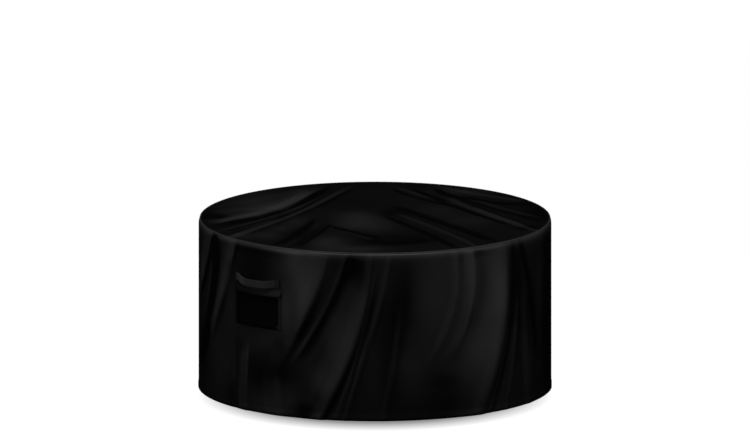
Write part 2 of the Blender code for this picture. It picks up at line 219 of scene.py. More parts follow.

# The folds. top, middle and hem are the crest's angle at the rim, halfway down and at the hem.
# rise and fall are the widths in degrees of its left slope and its right one. height is in
# metres, less than 0 for a trough. first and last are shares of the drop, and a last of 1.2
# takes the fold whole through the hem. The final column is how much light is painted on the
# crest's left side, paler than the cloth between, and below 0 it is shade painted dark.
Fold = namedtuple("Fold", "top middle hem rise fall height first last wear")
SKIRT_FOLDS = (
    Fold(-67.7, -85.6, -119.6, 9, 2.5, 0.008, 0.0, 0.5, 1.5),
    Fold(-66.2, -83.2, -117, 2.2, 3.0, 0.0, 0.0, 0.45, -1.7),
    Fold(-68.8, -74, -106.8, 2.2, 1.6, 0.003, 0.2, 0.65, 0.6),
    Fold(-65, -70.5, -89, 3, 3, -0.006, 0.0, 0.95, -1.3),
    Fold(-63.8, -67.4, -85.4, 2.6, 3.2, 0.0, 0.0, 0.85, -1.5),
    Fold(-52.4, -62.9, -80, 7.5, 1.6, 0.013, 0.0, 0.70, 0.9),
    Fold(-52.4, -62.9, -80, 4, 1.6, 0.001, 0.0, 0.62, 1.3),
    Fold(-52, -52, -51.7, 1.5, 1.5, -0.004, 0.62, 1.2, -0.4),
    Fold(-45, -45.6, -47.0, 4.5, 2.2, 0.012, 0.66, 1.2, 1.4),
    Fold(-16, -26.3, -46.6, 17, 2.8, 0.014, 0.0, 0.66, 0.9),
    Fold(-16, -26.3, -46.6, 7, 2.8, 0.005, 0.0, 0.80, 0.4),
    Fold(-36, -35, -33, 8, 7, 0.010, 0.80, 1.2, 1.1),
    Fold(-9.2, -21.1, -43.4, 1.7, 1.3, 0.003, 0.0, 0.72, 0.9),
    Fold(-7.5, -19.7, -37.7, 2.8, 4, -0.004, 0.0, 0.72, -0.9),
    Fold(-1.4, -6.3, -18.2, 10, 2.0, 0.014, 0.25, 1.2, 0.6),
    Fold(-1.4, -6.3, -18.2, 5, 2.0, 0.004, 0.3, 1.2, 1.2),
    Fold(-1.2, -6.0, -18.0, 2.4, 1.6, 0.002, 0.0, 1.2, 0.9),
    Fold(1.0, -4.2, -13.3, 1.1, 1.0, 0.003, 0.15, 1.2, 0.8),
    Fold(1.4, -3.8, -12.2, 1.3, 1.2, 0.001, 0.75, 1.2, 0.9),
    Fold(5.1, -1.1, -10.4, 1.6, 1.3, 0.005, 0.0, 0.6, 0.9),
    Fold(5.1, -1.8, -9.8, 1.6, 1.3, 0.005, 0.6, 1.2, 0.7),
    Fold(9, 8.5, 6, 5, 6, -0.008, 0.1, 0.75, -0.4),
    Fold(9.5, 7.5, 2.5, 1.8, 1.8, 0.004, 0.45, 1.2, 0.8),
    Fold(27.5, 23, 3, 2.6, 1.4, 0.004, 0.0, 0.72, 1.2),
    Fold(33.2, 29.6, 9.5, 4.0, 2.8, 0.007, 0.0, 0.70, 1.5),
    Fold(47.5, 46.3, 36.4, 15, 3.0, 0.018, 0.0, 1.2, 0.6),
    Fold(47.0, 45.2, 35.0, 5, 2.4, 0.003, 0.0, 1.2, 0.6),
    Fold(51.0, 50.5, 41.8, 1.8, 2.1, -0.004, 0.0, 1.2, -0.9),
    Fold(54, 53.5, 48, 1.6, 1.2, 0.004, 0.35, 1.2, 0.3),
    Fold(55, 64, 67.5, 2.2, 2.8, -0.007, 0.0, 0.8, -0.9),
    Fold(55.5, 58, 60.5, 3, 3.8, 0.007, 0.45, 1.2, 0.5),
    Fold(76, 80, 86, 9, 4, 0.008, 0.2, 1.2, 0.0),
    Fold(103, 109, 120, 12, 4, 0.017, 0.0, 1.2, 1.3),
    Fold(131, 128, 135, 9, 4, 0.011, 0.0, 0.8, 1.0),
    Fold(135, 131, 137, 1.3, 1.2, 0.004, 0.1, 0.8, 0.7),
    Fold(150, 158, 163, 14, 3, 0.021, 0.0, 1.2, 1.4),
    Fold(154, 162, 168, 1.4, 1.2, 0.004, 0.0, 1.2, 0.8),
    Fold(168, 172, 170, 2, 2, 0.004, 0.0, 0.7, 0.8),
    Fold(177, 180, 176, 8, 7, -0.009, 0.2, 1.2, -0.6),
    Fold(199, 193, 186, 12, 3, 0.019, 0.0, 1.2, 1.4),
    Fold(209, 206, 201, 2, 1.6, 0.004, 0.1, 0.9, 0.8),
    Fold(219, 216, 207, 7, 3, 0.010, 0.3, 1.2, 1.0),
    Fold(241, 233, 228, 13, 3, 0.018, 0.0, 0.95, 1.4),
    Fold(245, 238, 232, 1.4, 1.2, 0.004, 0.0, 0.9, 0.8),
    Fold(262, 256, 249, 9, 3, 0.012, 0.0, 1.2, 1.0),
)

# Where light or shade is painted on the cloth as a whole: the angle and the share of the drop of
# the patch's middle, how wide and how deep it fades out, and how pale it is painted.
Patch = namedtuple("Patch", "angle share wide deep pale")
SKIRT_PATCHES = (
    Patch(-77, 0.75, 8, 0.20, -0.6),
    Patch(-76.5, 0.24, 3, 0.07, 1.3),
    Patch(-62, 0.74, 10, 0.24, 0.7),
    Patch(-54.5, 0.42, 3, 0.13, 0.6),
    Patch(-54, 0.92, 4, 0.08, -0.6),
    Patch(-50, 0.90, 1.5, 0.08, 0.7),
    Patch(-48, 0.62, 3, 0.05, -0.7),
    Patch(-44, 0.03, 16, 0.03, -1.2),
    Patch(-44, 0.12, 9, 0.13, -0.6),
    Patch(-44, 0.34, 10, 0.16, -0.4),
    Patch(-44, 0.57, 10, 0.07, 0.3),
    Patch(-36, 0.77, 8, 0.11, -1.2),
    Patch(-36, 0.93, 9, 0.05, 0.6),
    Patch(-32, 0.58, 3, 0.06, -0.8),
    Patch(-31, 0.38, 3.5, 0.13, 1.1),
    Patch(-30, 0.86, 5, 0.09, 0.8),
    Patch(-25.5, 0.38, 3, 0.12, -0.5),
    Patch(-24, 0.10, 8, 0.14, 0.7),
    Patch(-23, 0.96, 4, 0.05, -1.2),
    Patch(-19, 0.74, 4, 0.08, 0.9),
    Patch(-18.5, 0.88, 3, 0.06, -0.6),
    Patch(-11.5, 0.50, 5, 0.14, 1.4),
    Patch(-7, 0.05, 4, 0.09, -1.0),
    Patch(0, 0.75, 5, 0.25, 0.7),
    Patch(2, 0.15, 3, 0.15, 0.7),
    Patch(4, 0.72, 3, 0.18, -0.5),
    Patch(6, 0.45, 2.5, 0.30, -0.4),
    Patch(7, 0.10, 5, 0.12, 0.5),
    Patch(11, 0.01, 17, 0.025, 1.6),
    Patch(11, 0.25, 2.5, 0.20, -0.6),
    Patch(12, 0.68, 5, 0.17, 1.3),
    Patch(20, 0.26, 8, 0.36, 2.3),
    Patch(23, 0.77, 8, 0.06, -0.7),
    Patch(25, 0.92, 9, 0.09, -0.6),
    Patch(28, 0.62, 5, 0.08, -0.7),
    Patch(31, 0.72, 6, 0.08, 0.9),
    Patch(33, 0.20, 4, 0.22, 0.9),
    Patch(35, 0.60, 8, 0.10, 2.2),
    Patch(36, 0.02, 9, 0.03, -1.6),
    Patch(37, 0.88, 3, 0.07, 0.7),
    Patch(38.5, 0.16, 3, 0.10, -0.2),
    Patch(40, 0.48, 4, 0.12, 1.1),
    Patch(44, 0.25, 4, 0.25, 0.9),
    Patch(54, 0.25, 2.5, 0.35, -0.8),
    Patch(57, 0.50, 2, 0.08, -0.5),
    Patch(61, 0.75, 3, 0.20, 0.5),
    Patch(62, 0.50, 5, 0.35, -0.5),
    Patch(66, 0.01, 8, 0.025, 1.2),
    Patch(69, 0.30, 3, 0.25, 0.4),
    Patch(78, 0.50, 8, 0.60, -1.3),
)

# Folds fade in and out along their run, over shares of the drop before and after each end. All
# of them grow out of the smooth shoulder, and have their full height at FOLDS_FULL_DROP.
FADE_IN_BEFORE, FADE_IN_AFTER, FADE_OUT_BEFORE = 0.15, 0.05, 0.2
FOLDS_FULL_DROP = 0.40

# They are lower at the stitched hem and where the cover is drawn straight at its two sides, and
# the cloth is smooth round the vent, between two angles and two drops.
HEM_CALM, HEM_CALM_FROM = 0.5, 0.70
SIDE_CALM, SIDE_CALM_WIDTH = 0.8, 12.0
CALM_LEFT, CALM_LEFT_FADE = -54.0, 5.0
CALM_RIGHT, CALM_RIGHT_FADE = -32.0, 8.0
CALM_TOP, CALM_TOP_FADE = 0.155, 0.07
CALM_BOTTOM, CALM_BOTTOM_FADE = 0.455, 0.13

# Painted light and shade is slight where the cloth is smooth, and less towards the hem. The rim
# has a painted highlight, palest of all.
CALM_PAINT_LOST = 0.8
HEM_PAINT_LOST, HEM_PAINT_FROM, HEM_PAINT_TO = 0.45, 0.6, 0.95
RIM_HIGHLIGHT, RIM_HIGHLIGHT_DROP = 5.0, 0.015

# How the painted light lies across a fold, in shares of its slopes from the crest: whole within the
# first on the left, gone by the second on the right, where shade is painted dark till past the
# foot.
LIT_WHOLE, LIT_GONE = 0.45, 0.4
DARK_WHOLE, DARK_FADES, DARK_GONE, DARK_SHARE = 0.5, 0.9, 2.2, 0.2


def soft_step(low, high, value):
    """0 below low, 1 above high, with a smooth turn between."""
    share = np.clip((value - low) / (high - low), 0, 1)
    return share * share * (3 - 2 * share)


def ridge(side, rise, fall):
    """A fold's cross-section at side degrees from its crest: 1 there, 0 at each foot."""
    return soft_step(0, 1, 1 - np.abs(side) / np.where(side < 0, rise, fall))


def light_and_shade(side, rise, fall, wear):
    """The light and shade painted on a fold: light most on its left slope up to the crest, shade
    past it.

    With an amount below 0 it is a trough, painted dark all over as shade.
    """
    if wear < 0:
        return wear * ridge(side, rise, fall)
    pale = soft_step(-rise, -LIT_WHOLE * rise, side)
    pale = pale * (1 - soft_step(0, LIT_GONE * fall, side))
    dark = soft_step(0, DARK_WHOLE * fall, side)
    dark = dark * (1 - soft_step(DARK_FADES * fall, DARK_GONE * fall, side))
    return wear * (pale - DARK_SHARE * dark)


def skirt_folds(angle, drop):
    """How far the skirt stands out of its plain cylinder, and the light and shade painted on it."""
    turn = (angle + 100) % 360 - 100  # from -100 to 260, clear of the patches
    share = drop / DROP
    out, pale = np.zeros_like(share * turn), np.zeros_like(share * turn)
    for fold in SKIRT_FOLDS:
        bow = fold.middle - (fold.top + fold.hem) / 2
        crest = fold.top + (fold.hem - fold.top) * share + 4 * bow * share * (1 - share)
        side = (turn - crest + 180) % 360 - 180
        here = soft_step(fold.first - FADE_IN_BEFORE, fold.first + FADE_IN_AFTER, share)
        here = here * (1 - soft_step(fold.last - FADE_OUT_BEFORE, fold.last, share))
        out += fold.height * here * ridge(side, fold.rise, fold.fall)
        pale += here * light_and_shade(side, fold.rise, fold.fall, fold.wear)
    out = out * soft_step(SHOULDER_DROP, FOLDS_FULL_DROP, drop)
    out = out * (1 - HEM_CALM * soft_step(HEM_CALM_FROM, DROP, drop))
    out = out * (1 - SIDE_CALM * np.exp(-(((np.abs(turn) - 90) / SIDE_CALM_WIDTH) ** 2)))
    calm = soft_step(CALM_LEFT - CALM_LEFT_FADE, CALM_LEFT, turn)
    calm = calm * (1 - soft_step(CALM_RIGHT, CALM_RIGHT + CALM_RIGHT_FADE, turn))
    calm = calm * soft_step(CALM_TOP - CALM_TOP_FADE, CALM_TOP, drop)
    calm = calm * (1 - soft_step(CALM_BOTTOM, CALM_BOTTOM + CALM_BOTTOM_FADE, drop))
    pale = pale * (1 - CALM_PAINT_LOST * calm)
    pale = pale * (1 - HEM_PAINT_LOST * soft_step(HEM_PAINT_FROM, HEM_PAINT_TO, share))
    for patch in SKIRT_PATCHES:
        far = ((turn - patch.angle) / patch.wide) ** 2 + ((share - patch.share) / patch.deep) ** 2
        pale = pale + patch.pale * np.exp(-far)
    return out * (1 - calm), pale + RIM_HIGHLIGHT * np.exp(-drop / RIM_HIGHLIGHT_DROP)


def on_skirt(angle, drop, out=0.0):
    """Points on the skirt's outer face, or out from it."""
    lean = np.clip(1 - drop / SHOULDER_DROP, 0, 1)
    radius = RADIUS - SHOULDER_IN * lean**2 + skirt_folds(angle, drop)[0] + out
    turn = np.radians(angle)
    return np.stack([radius * np.sin(turn), -radius * np.cos(turn), -drop + 0 * turn], axis=-1)


def lay_cloth(name, cells, place):
    """A flat grid of cells (across, down), moved to its shape.

    place(u, v) gives each vertex's position, its spot on the flat cloth in metres for the UV
    map, and the light and shade painted on it; u runs across and v down the cloth, from 0 to 1.
    """
    bpy.ops.object.select_all(action="DESELECT")
    bpy.ops.mesh.primitive_grid_add(x_subdivisions=cells[0], y_subdivisions=cells[1], size=1)
    piece = bpy.context.object
    piece.name = name
    mesh = piece.data
    flat = np.empty(len(mesh.vertices) * 3)
    mesh.vertices.foreach_get("co", flat)
    u, v = flat[0::3] + 0.5, 0.5 - flat[1::3]
    points, spots, pale = place(u, v)
    mesh.vertices.foreach_set("co", np.ascontiguousarray(points).ravel())
    corners = np.empty(len(mesh.loops), int)
    mesh.loops.foreach_get("vertex_index", corners)
    mesh.uv_layers[0].uv.foreach_set("vector", np.ascontiguousarray(spots[corners]).ravel())
    painted_layer = mesh.attributes.new("light_and_shade", "FLOAT", "POINT")
    painted_layer.data.foreach_set("value", np.ascontiguousarray(pale + 0 * u))
    mesh.flip_normals()  # hung with u across and v down, the grid faces in
    mesh.shade_smooth()
    return piece


def close_seam(piece):
    """Joins the cloth's two ends, where they meet."""
    bpy.context.view_layer.objects.active = piece
    bpy.ops.object.mode_set(mode="EDIT")
    bpy.ops.mesh.select_all(action="SELECT")
    bpy.ops.mesh.remove_doubles(threshold=0.00002)
    bpy.ops.object.mode_set(mode="OBJECT")


def cut_out(piece, inside):
    """Cuts away the faces for which inside(face) is true."""
    bm = bmesh.new()
    bm.from_mesh(piece.data)
    bmesh.ops.delete(bm, geom=[face for face in bm.faces if inside(face)], context="FACES")
    bm.to_mesh(piece.data)
    bm.free()


def thicken(piece, thickness, doubled=None):
    """Gives cloth its thickness behind its face. doubled(points) says where it is two layers."""
    wall = piece.modifiers.new("Thickness", "SOLIDIFY")
    wall.thickness = thickness
    wall.offset = -1
    if doubled:
        group = piece.vertex_groups.new(name="doubled")
        points = np.empty(len(piece.data.vertices) * 3)
        piece.data.vertices.foreach_get("co", points)
        group.add([int(n) for n in np.nonzero(doubled(points.reshape(-1, 3)))[0]], 1.0, "REPLACE")
        wall.vertex_group = group.name
        wall.thickness = 2 * thickness
        wall.thickness_vertex_group = 0.5  # all the rest is one layer
    bpy.context.view_layer.objects.active = piece
    bpy.ops.object.modifier_apply(modifier="Thickness")


# The skirt's cells: closer together over the front, and near the rim and the hem.
SKIRT_CELLS = (500, 84)
FRONT_SHARE, FRONT_ANGLE = 0.70, 82  # the front's share of them, and how far it goes each way
RIM_SHARE, HEM_SHARE, EDGE_BAND = 0.06, 0.05, 0.045

# The rim's seam and the hem's stitches draw the cloth up in small puckers: how high and how long
# they are, how far and how slowly their spacing drifts, and how far from the seam they reach.
Pucker = namedtuple("Pucker", "height length drift slowness reach")
RIM_PUCKER = Pucker(0.0006, 0.0041, 2.2, 0.067, 0.016)
HEM_PUCKER = Pucker(0.0005, 0.0046, 2.0, 0.081, 0.010)
BACK_SEAM_SMOOTH = 0.03

# The vent, outside its tape, and how far inside the tape's outer edges the skirt is cut away.
VENT_LEFT, VENT_RIGHT = -52.0, -32.0
net_low, net_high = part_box("vent_net")
VENT_TOP, VENT_BOTTOM = -net_high[2], -net_low[2]
BINDING = 0.022
CUT_ANGLE = math.degrees(BINDING / RADIUS) - 0.25
CUT_DROP = 0.017


def puckers(pucker, arc):
    """Small waves along a seam, arc metres round the cover from the front."""
    drift = pucker.drift * np.sin(arc / pucker.slowness)
    return pucker.height * np.sin(arc / pucker.length + drift)


def place_skirt(u, v):
    """The strip hung round the cover, its ends meeting at the back."""
    half = FRONT_SHARE / 2
    angle = np.interp(u, [0, 0.5 - half, 0.5 + half, 1], [-180, -FRONT_ANGLE, FRONT_ANGLE, 180])
    bands = [RIM_DROP, EDGE_BAND, DROP - EDGE_BAND, DROP]
    drop = np.interp(v, [0, RIM_SHARE, 1 - HEM_SHARE, 1], bands)
    arc = np.radians(angle) * RADIUS
    rim = puckers(RIM_PUCKER, arc) * np.exp(-drop / RIM_PUCKER.reach)
    hem = puckers(HEM_PUCKER, arc) * np.exp(-(((drop - HEM_STITCHES) / HEM_PUCKER.reach) ** 2))
    pucker = (rim + hem) * soft_step(0, BACK_SEAM_SMOOTH, math.pi * RADIUS - np.abs(arc))
    return on_skirt(angle, drop, pucker), np.stack([arc, -drop], -1), skirt_folds(angle, drop)[1]


def behind_net(face):
    """Whether a face of the skirt lies in the vent's opening."""
    x, y, z = face.calc_center_median()
    angle = math.degrees(math.atan2(x, -y))
    across = VENT_LEFT + CUT_ANGLE < angle < VENT_RIGHT - CUT_ANGLE
    return across and VENT_TOP + CUT_DROP < -z < VENT_BOTTOM - CUT_DROP


skirt = lay_cloth("skirt_cloth", SKIRT_CELLS, place_skirt)
close_seam(skirt)
cut_out(skirt, behind_net)
thicken(skirt, CLOTH, doubled=lambda points: -points[:, 2] > DROP - HEM)


def add_group_socket(group, name, kind, into, value=None):
    """One named socket of a node group."""
    socket = group.interface.new_socket(name=name, in_out=into, socket_type=kind)
    if value is not None:
        socket.default_value = value
    return socket


# The oxford weave that every cloth piece here shares: fat threads over and under each other.
OXFORD_THREAD = 0.0006
weave = bpy.data.node_groups.new("oxford_weave", "ShaderNodeTree")
add_group_socket(weave, "Vector", "NodeSocketVector", "INPUT")
add_group_socket(weave, "Thread", "NodeSocketFloat", "INPUT", OXFORD_THREAD)
add_group_socket(weave, "Height", "NodeSocketFloat", "OUTPUT")
nodes, links = weave.nodes, weave.links
given, result = nodes.new("NodeGroupInput"), nodes.new("NodeGroupOutput")
per_thread = add_node(nodes, "Math", {0: math.pi}, operation="DIVIDE")
spread = add_node(nodes, "VectorMath", operation="SCALE")
axes = add_node(nodes, "SeparateXYZ")
crossing = add_node(nodes, "Math", operation="MULTIPLY")
links.new(given.outputs["Thread"], per_thread.inputs[1])
links.new(given.outputs["Vector"], spread.inputs[0])
links.new(per_thread.outputs[0], spread.inputs["Scale"])
links.new(spread.outputs[0], axes.inputs[0])
for n in range(2):
    wave = add_node(nodes, "Math", operation="SINE")
    links.new(axes.outputs[n], wave.inputs[0])
    links.new(wave.outputs[0], crossing.inputs[n])
links.new(crossing.outputs[0], result.inputs["Height"])


def cloth_material(name, colour, lit_colour, roughness, thread, weave_depth, crinkle_depth):
    """Coated cloth: a weave under a thin coat, small crinkles, and the light and shade painted on
    it.
    """
    material = bpy.data.materials.new(name)
    material.use_nodes = True
    nodes, links = material.node_tree.nodes, material.node_tree.links
    shader = nodes["Principled BSDF"]
    flat = add_node(nodes, "UVMap", uv_map="UVMap")
    place = add_node(nodes, "TexCoord")

    # The painted light and shade is the piece's own, and a little uneven from place to place.
    painted_layer = add_node(nodes, "Attribute", attribute_name="light_and_shade")
    cloudy = add_node(nodes, "TexNoise", {"Scale": 3.5, "Detail": 5})
    uneven = add_node(nodes, "Math", {1: 0.6, 2: -0.3}, operation="MULTIPLY_ADD")
    total = add_node(nodes, "Math", operation="ADD")
    links.new(place.outputs["Object"], cloudy.inputs["Vector"])
    links.new(cloudy.outputs["Fac"], uneven.inputs[0])
    links.new(painted_layer.outputs["Fac"], total.inputs[0])
    links.new(uneven.outputs[0], total.inputs[1])

    # Where light is painted the cloth is paler, smoother and a little glossier; where shade is,
    # darker.
    paler = add_range(nodes, -0.6, 5.0, 0, 1)
    tint = add_node(nodes, "Mix", {"A": (*colour, 1), "B": (*lit_colour, 1)}, data_type="RGBA")
    smoother = add_range(nodes, -0.8, 1.5, roughness + 0.10, roughness - 0.12)
    glossier = add_range(nodes, -1.0, 1.2, 0.02, 0.13)
    for change in (paler, smoother, glossier):
        links.new(total.outputs[0], change.inputs["Value"])
    links.new(paler.outputs[0], tint.inputs["Factor"])
    links.new(tint.outputs["Result"], shader.inputs["Base Color"])
    links.new(smoother.outputs[0], shader.inputs["Roughness"])
    links.new(glossier.outputs[0], shader.inputs["Specular IOR Level"])

    # The weave lies flat on the cloth, and small crinkles run over it.
    threads = add_node(nodes, "Group", {"Thread": thread}, node_tree=weave)
    woven = add_node(nodes, "Bump", {"Strength": 0.35, "Distance": weave_depth})
    crinkle = add_node(nodes, "TexNoise", {"Scale": 26, "Detail": 4, "Distortion": 0.6})
    creased = add_node(nodes, "Bump", {"Strength": 0.5, "Distance": crinkle_depth})
    links.new(flat.outputs["UV"], threads.inputs["Vector"])
    links.new(threads.outputs["Height"], woven.inputs["Height"])
    links.new(place.outputs["Object"], crinkle.inputs["Vector"])
    links.new(crinkle.outputs["Fac"], creased.inputs["Height"])
    links.new(woven.outputs["Normal"], creased.inputs["Normal"])
    links.new(creased.outputs["Normal"], shader.inputs["Normal"])
    return material


coated_cloth = cloth_material(
    "coated_cloth",
    colour=(0.0008, 0.0008, 0.0008),
    lit_colour=(0.0260, 0.0260, 0.0268),
    roughness=0.52,
    thread=OXFORD_THREAD,
    weave_depth=0.0001,
    crinkle_depth=0.0012,
)
skirt.data.materials.append(coated_cloth)
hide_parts("skirt")
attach(skirt, "root")

# ----------------------------------------------------------------------------- the top panel
# One disc of the same cloth, laid flat. Its slack runs in creases from the middle of the back
# edge to the front and the sides, and they flatten towards the seam with the rim.
top_low, top_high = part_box("top_panel")
TOP_RADIUS = (top_high[0] - top_low[0]) / 2
TOP_CELLS = (208, 208)
# The whole top is painted a little darker, as shade.
TOP_SHADE = -0.3
TOP_FLAT_FROM, TOP_FLAT = 0.80, 0.95  # radii between which the creases flatten
# A highlight is painted along the top's edge, a share of the rim's, fading within its reach.
TOP_RIM_HIGHLIGHT, TOP_RIM_REACH = 0.35 * RIM_HIGHLIGHT, 0.005

# Each crease curves from start towards bend and on to end, in radii from the middle, x to the
# right and y to the back, and has its full height between two shares of that run. right and left
# are the widths of its slopes, and its right slope is painted pale, as the lit side.
CREASE_SPOTS = 41
CREASE_FULL_FROM, CREASE_FULL_TO = 0.2, 0.85
Crease = namedtuple("Crease", "start bend end right left height wear")
TOP_CREASES = (
    Crease((-0.26, 0.97), (-0.50, 0.03), (-0.98, -0.20), 0.17, 0.030, 0.011, 1.0),
    Crease((-0.32, 0.78), (-0.50, 0.07), (-0.92, -0.18), 0.10, 0.022, 0.003, 2.4),
    Crease((-0.25, 0.90), (-0.46, 0.03), (-0.94, -0.27), 0.020, 0.020, -0.003, -0.9),
    Crease((-0.35, 0.82), (-0.60, 0.52), (-0.97, 0.22), 0.08, 0.05, 0.004, 0.3),
    Crease((-0.30, 0.62), (-0.50, 0.02), (-0.94, -0.44), 0.030, 0.020, 0.003, 0.8),
    Crease((-0.32, 0.50), (-0.52, -0.07), (-0.90, -0.55), 0.015, 0.015, -0.003, -0.7),
    Crease((-0.09, 0.97), (-0.42, 0.00), (-0.90, -0.72), 0.050, 0.022, 0.006, 1.3),
    Crease((-0.50, 0.02), (-0.70, -0.30), (-0.92, -0.76), 0.050, 0.022, 0.002, 0.8),
    Crease((-0.29, -0.05), (-0.355, -0.475), (-0.52, -0.86), 0.035, 0.022, 0.005, 0.2),
    Crease((-0.34, 0.00), (-0.41, -0.42), (-0.58, -0.80), 0.035, 0.030, -0.003, -1.1),
    Crease((-0.24, -0.10), (-0.31, -0.45), (-0.44, -0.82), 0.020, 0.020, -0.003, -0.8),
    Crease((-0.26, -0.20), (-0.12, -0.42), (0.04, -0.56), 0.035, 0.035, -0.004, -1.6),
    Crease((-0.20, -0.30), (-0.10, -0.48), (0.00, -0.62), 0.015, 0.015, 0.003, 0.6),
    Crease((-0.05, -0.60), (0.105, -0.81), (0.32, -0.58), 0.07, 0.07, -0.005, -0.9),
    Crease((0.09, 0.18), (0.29, -0.12), (0.66, -0.96), 0.035, 0.025, 0.007, 0.6),
    Crease((0.02, 0.12), (0.24, -0.24), (0.50, -0.92), 0.045, 0.030, -0.003, -0.7),
    Crease((0.08, 0.38), (0.33, 0.00), (0.72, -0.74), 0.055, 0.055, -0.004, -0.8),
    Crease((0.38, 0.68), (0.59, 0.14), (1.00, -0.46), 0.050, 0.022, 0.009, 1.4),
    Crease((0.33, 0.82), (0.42, 0.54), (0.60, 0.20), 0.035, 0.035, -0.002, -0.9),
    Crease((0.30, 0.90), (0.635, 0.21), (0.99, -0.12), 0.020, 0.020, -0.003, -0.5),
    Crease((0.34, 0.88), (0.70, 0.25), (0.98, -0.02), 0.030, 0.020, 0.003, 0.6),
    Crease((0.32, 0.86), (0.54, 0.39), (0.92, 0.36), 0.035, 0.035, -0.004, -1.1),
    Crease((0.20, 0.84), (0.44, 0.30), (0.80, -0.24), 0.035, 0.030, -0.003, -1.1),
    Crease((0.10, 0.92), (0.25, 0.62), (0.50, 0.34), 0.030, 0.018, 0.003, 0.7),
    Crease((0.08, 0.84), (0.22, 0.53), (0.46, 0.31), 0.020, 0.020, -0.002, -0.8),
    Crease((0.35, 0.92), (0.545, 0.665), (0.88, 0.47), 0.06, 0.040, 0.004, 0.9),
)

# Where light or shade is painted on the top as a whole: the patch's middle and its size in
# radii, how pale it is painted, and how far it swells.
TopPatch = namedtuple("TopPatch", "x y wide deep pale swell")
TOP_PATCHES = (
    TopPatch(-0.95, 0.05, 0.08, 0.30, -0.4, 0.0),
    TopPatch(-0.88, 0.02, 0.07, 0.05, -1.0, 0.0),
    TopPatch(-0.84, -0.06, 0.06, 0.05, -0.9, 0.0),
    TopPatch(-0.84, 0.18, 0.10, 0.08, 0.7, 0.0),
    TopPatch(-0.76, -0.49, 0.05, 0.07, 0.9, 0.0),
    TopPatch(-0.70, 0.05, 0.10, 0.06, 0.7, 0.0),
    TopPatch(-0.68, 0.23, 0.12, 0.05, 1.3, 0.0),
    TopPatch(-0.62, -0.48, 0.08, 0.11, 0.8, 0.0),
    TopPatch(-0.62, 0.32, 0.14, 0.12, 1.2, 0.0),
    TopPatch(-0.62, 0.48, 0.20, 0.26, 0.9, 0.0),
    TopPatch(-0.54, -0.30, 0.06, 0.08, 0.7, 0.0),
    TopPatch(-0.52, -0.02, 0.05, 0.10, -0.2, 0.0),
    TopPatch(-0.45, -0.12, 0.08, 0.16, 0.9, 0.0),
    TopPatch(-0.40, -0.55, 0.08, 0.30, -0.5, 0.0),
    TopPatch(-0.27, -0.70, 0.11, 0.19, 1.4, 0.004),
    TopPatch(-0.12, -0.20, 0.10, 0.10, 0.6, 0.0),
    TopPatch(-0.10, -0.87, 0.16, 0.08, 1.2, 0.0),
    TopPatch(-0.09, -0.03, 0.13, 0.20, 1.6, 0.008),
    TopPatch(0.00, -0.26, 0.13, 0.16, 0.6, 0.0),
    TopPatch(0.0, 0.75, 0.15, 0.25, 0.2, 0.0),
    TopPatch(0.08, 0.14, 0.10, 0.10, -0.4, 0.0),
    TopPatch(0.10, -0.62, 0.20, 0.14, -0.3, 0.0),
    TopPatch(0.20, 0.52, 0.09, 0.16, 0.3, 0.0),
    TopPatch(0.36, 0.22, 0.14, 0.20, 0.6, 0.0),
    TopPatch(0.52, 0.73, 0.18, 0.10, 1.0, 0.0),
    TopPatch(0.57, -0.08, 0.14, 0.16, 0.6, 0.0),
    TopPatch(0.87, -0.28, 0.06, 0.06, -0.8, 0.0),
    TopPatch(0.93, 0.10, 0.08, 0.30, -0.4, 0.0),
)


def top_folds(x, y):
    """How high the top stands off its flat disc, and the light and shade painted on it."""
    height, pale = np.zeros_like(x), np.full_like(x, TOP_SHADE)
    t = np.linspace(0, 1, CREASE_SPOTS)
    for crease in TOP_CREASES:
        start, bend, end = (RADIUS * np.array(p) for p in (crease.start, crease.bend, crease.end))
        line = np.outer((1 - t) ** 2, start) + np.outer(2 * t * (1 - t), bend) + np.outer(t**2, end)
        run = np.gradient(line, axis=0)
        run /= np.linalg.norm(run, axis=1)[:, None]
        near = np.argmin((x[:, None] - line[:, 0]) ** 2 + (y[:, None] - line[:, 1]) ** 2, axis=1)
        side = (y - line[near, 1]) * run[near, 0] - (x - line[near, 0]) * run[near, 1]
        here = soft_step(0, CREASE_FULL_FROM, t[near])
        here = here * (1 - soft_step(CREASE_FULL_TO, 1, t[near]))
        rise, fall = crease.right * RADIUS, crease.left * RADIUS
        height += crease.height * here * ridge(side, rise, fall)
        pale += here * light_and_shade(side, rise, fall, crease.wear)
    for patch in TOP_PATCHES:
        across, back = (x / RADIUS - patch.x) / patch.wide, (y / RADIUS - patch.y) / patch.deep
        inside = np.exp(-(across**2 + back**2))
        height += patch.swell * inside
        pale += patch.pale * inside
    edge = np.hypot(x, y) / RADIUS
    pale = pale + TOP_RIM_HIGHLIGHT * np.exp((edge - 1) * RADIUS / TOP_RIM_REACH)
    return height * (1 - soft_step(TOP_FLAT_FROM, TOP_FLAT, edge)), pale


def place_top(u, v):
    """The square grid drawn in to a disc, with its edge on the rim and its middle level."""
    a, b = 2 * u - 1, 1 - 2 * v
    x = TOP_RADIUS * a * np.sqrt(1 - b * b / 2)
    y = TOP_RADIUS * b * np.sqrt(1 - a * a / 2)
    height, pale = top_folds(x, y)
    middle = top_folds(np.zeros(1), np.zeros(1))[0]
    height = CLOTH + height - middle * (1 - np.hypot(x, y) / TOP_RADIUS)
    return np.stack([x, y, height], axis=-1), np.stack([x, y], axis=-1), pale


top = lay_cloth("top_cloth", TOP_CELLS, place_top)
top.data.flip_normals()  # it lies face up, where the other cloths face out
thicken(top, CLOTH)
top.data.materials.append(coated_cloth)
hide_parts("top_panel")
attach(top, "root")

# ----------------------------------------------------------------------------- the rim piping
# A cord in a sleeve of the same cloth, sewn into the seam between the top and the skirt. A
# highlight is painted on it all round, and draws the cover's pale outline.
piping_low, piping_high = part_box("rim_piping")

# The cord's radius. The frame's ring has six sides, and isn't quite as high as the cord is thick.
PIPING = (piping_high[2] - piping_low[2]) / 2 / math.sin(math.pi / 3)

